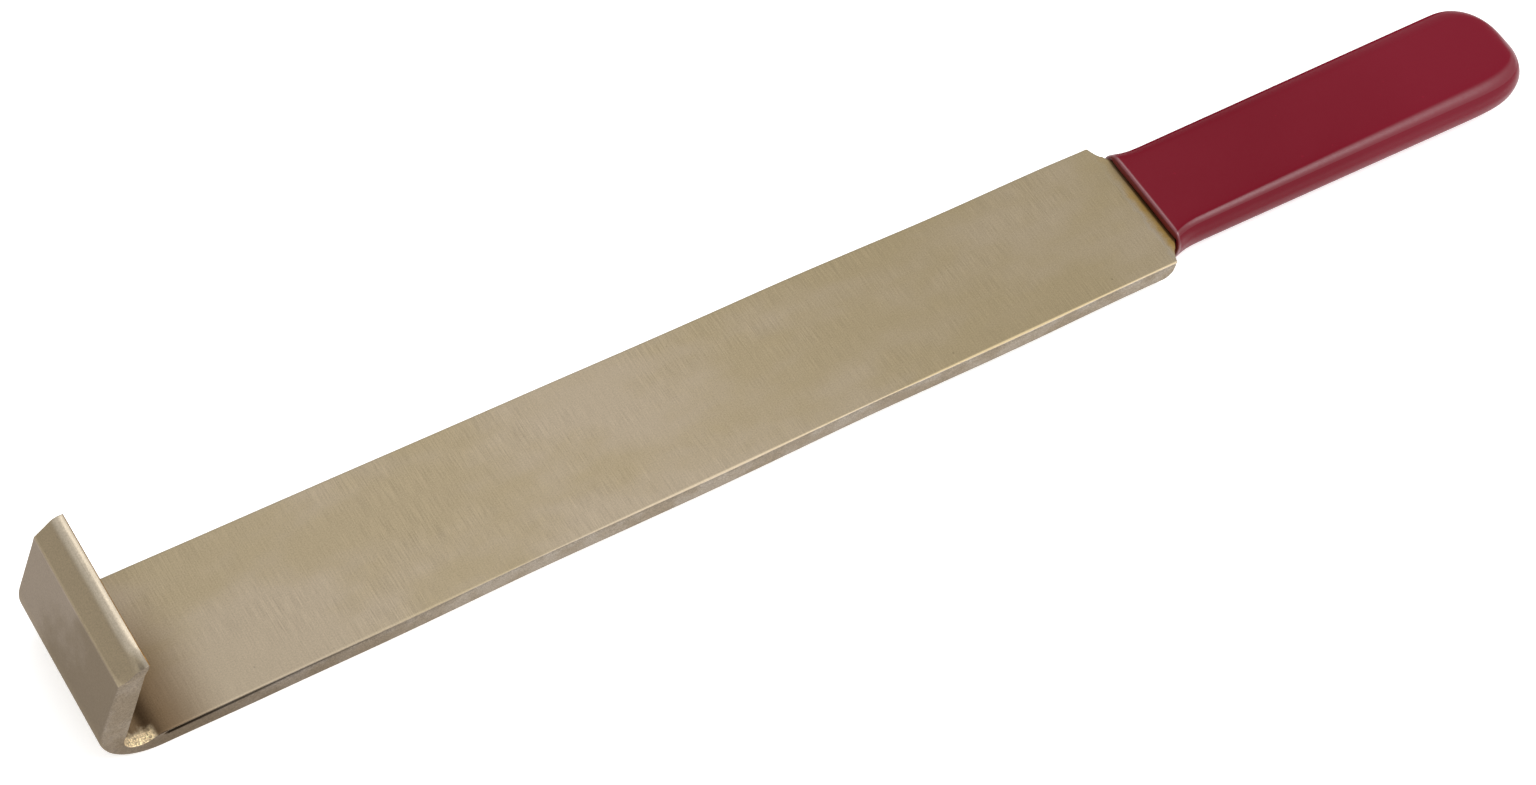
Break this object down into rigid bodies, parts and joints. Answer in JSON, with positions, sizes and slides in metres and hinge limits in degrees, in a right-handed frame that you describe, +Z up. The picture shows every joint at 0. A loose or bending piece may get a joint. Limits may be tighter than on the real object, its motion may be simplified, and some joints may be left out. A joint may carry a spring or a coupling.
{
  "type": "hive tool",
  "caption": "Flat bronze hive tool: a long scraping blade with a bent-up prising hook at one end and a dipped red vinyl grip over the narrow tang at the other.",
  "frame": {"origin": "on the surface the tool lies on, under the centre of its bounding box", "axes": "+X along the tool towards the grip, +Y across the blade, +Z up, the way the hook points"},
  "size_m": [0.3392, 0.032, 0.0315],
  "materials": {
    "bronze": "satin, sanded across the blade, with soft olive and pinkish blotches",
    "vinyl": "satin gloss, dipped"
  },
  "bodies": {
    "root": {"tool_body": "bronze", "grip": "vinyl"}
  },
  "joints": []
}
